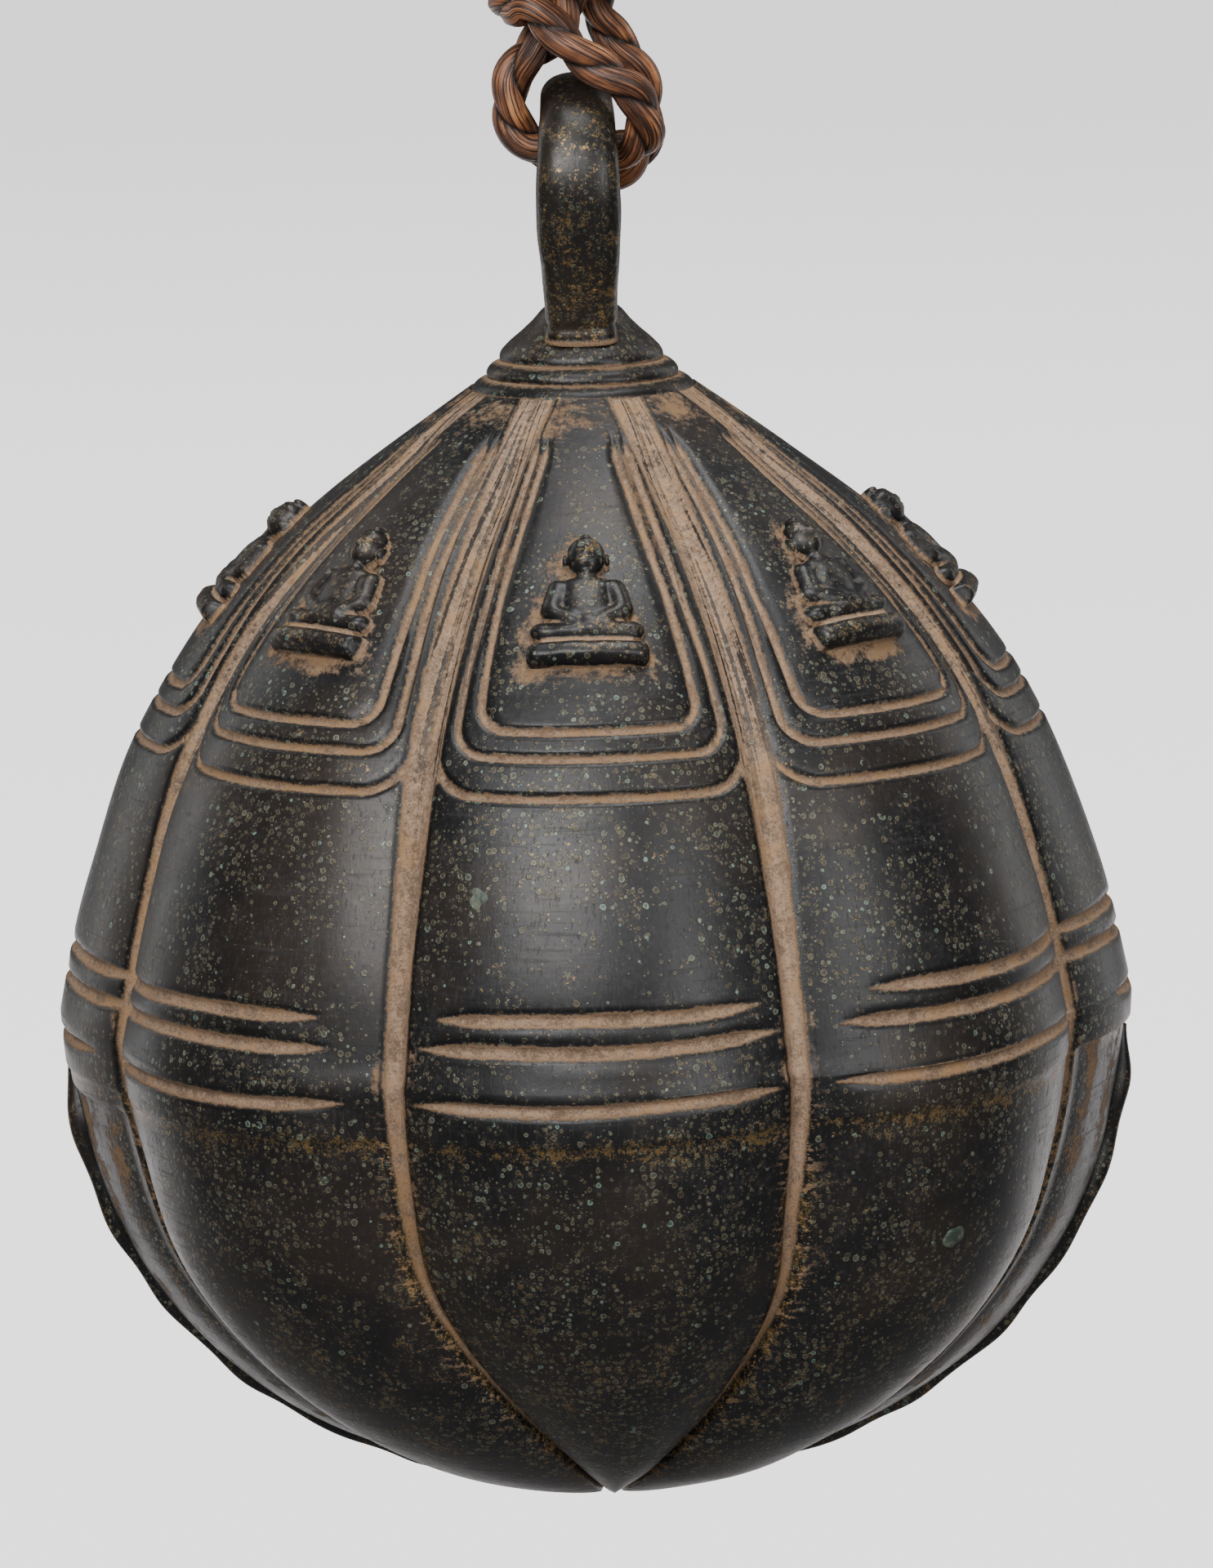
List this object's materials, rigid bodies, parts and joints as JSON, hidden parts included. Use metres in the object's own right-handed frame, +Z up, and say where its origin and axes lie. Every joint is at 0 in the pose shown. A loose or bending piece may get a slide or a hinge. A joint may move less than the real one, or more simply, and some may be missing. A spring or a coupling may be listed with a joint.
{
  "type": "temple bell",
  "caption": "Lobed bronze rumbler bell with a slit mouth and a loose ball, hung by its loop from a twisted cane rope sling over an iron hook.",
  "frame": {"origin": "middle of the hook plate's top face, where the hook meets a beam", "axes": "+Z up, away from the bell; +X along the slit mouth and along the rope's way through the loop; +Y away from the front figure"},
  "size_m": [0.1984, 0.1984, 0.3706],
  "materials": {
    "bronze": "dark brown patina with green-grey specks and pale dust in the grooves, semi-gloss",
    "worn_bronze": "dark patina rubbed to golden brown where hands and rope touch",
    "iron": "rusty, matte",
    "forged_iron": "black forged, hammered, satin",
    "cane": "two-ply twisted split cane, reddish brown, satin"
  },
  "bodies": {
    "hook": {"ceiling_hook": "forged_iron"},
    "sling": {"rope": "cane", "rope_lashing": "cane"},
    "bell": {"bell_shell": "bronze", "lower_neck_ring": "bronze", "upper_neck_ring": "bronze", "neck_cap": "bronze", "suspension_loop": "worn_bronze", "seated_figure_1": "bronze", "seated_figure_2": "bronze", "seated_figure_3": "bronze", "seated_figure_4": "bronze", "seated_figure_5": "bronze", "seated_figure_6": "bronze", "seated_figure_7": "bronze", "seated_figure_8": "bronze", "core_pin_1": "iron", "core_pin_2": "iron", "core_pin_3": "iron", "core_pin_4": "iron"},
    "ball": {"rattle_ball": "iron"}
  },
  "joints": [
    {"name": "rope_sway", "type": "hinge", "parent": "hook", "child": "sling", "pos_m": [0, 0, -0.052], "axis": [0, 1, 0], "range_deg": [-20, 20]},
    {"name": "bell_swing", "type": "hinge", "parent": "sling", "child": "bell", "pos_m": [0, 0, -0.124], "axis": [1, 0, 0], "range_deg": [-35, 35]},
    {"name": "ball_roll", "type": "hinge", "parent": "bell", "child": "ball", "pos_m": [0, 0, -0.2584], "axis": [0, 1, 0], "range_deg": [-38, 38]}
  ]
}
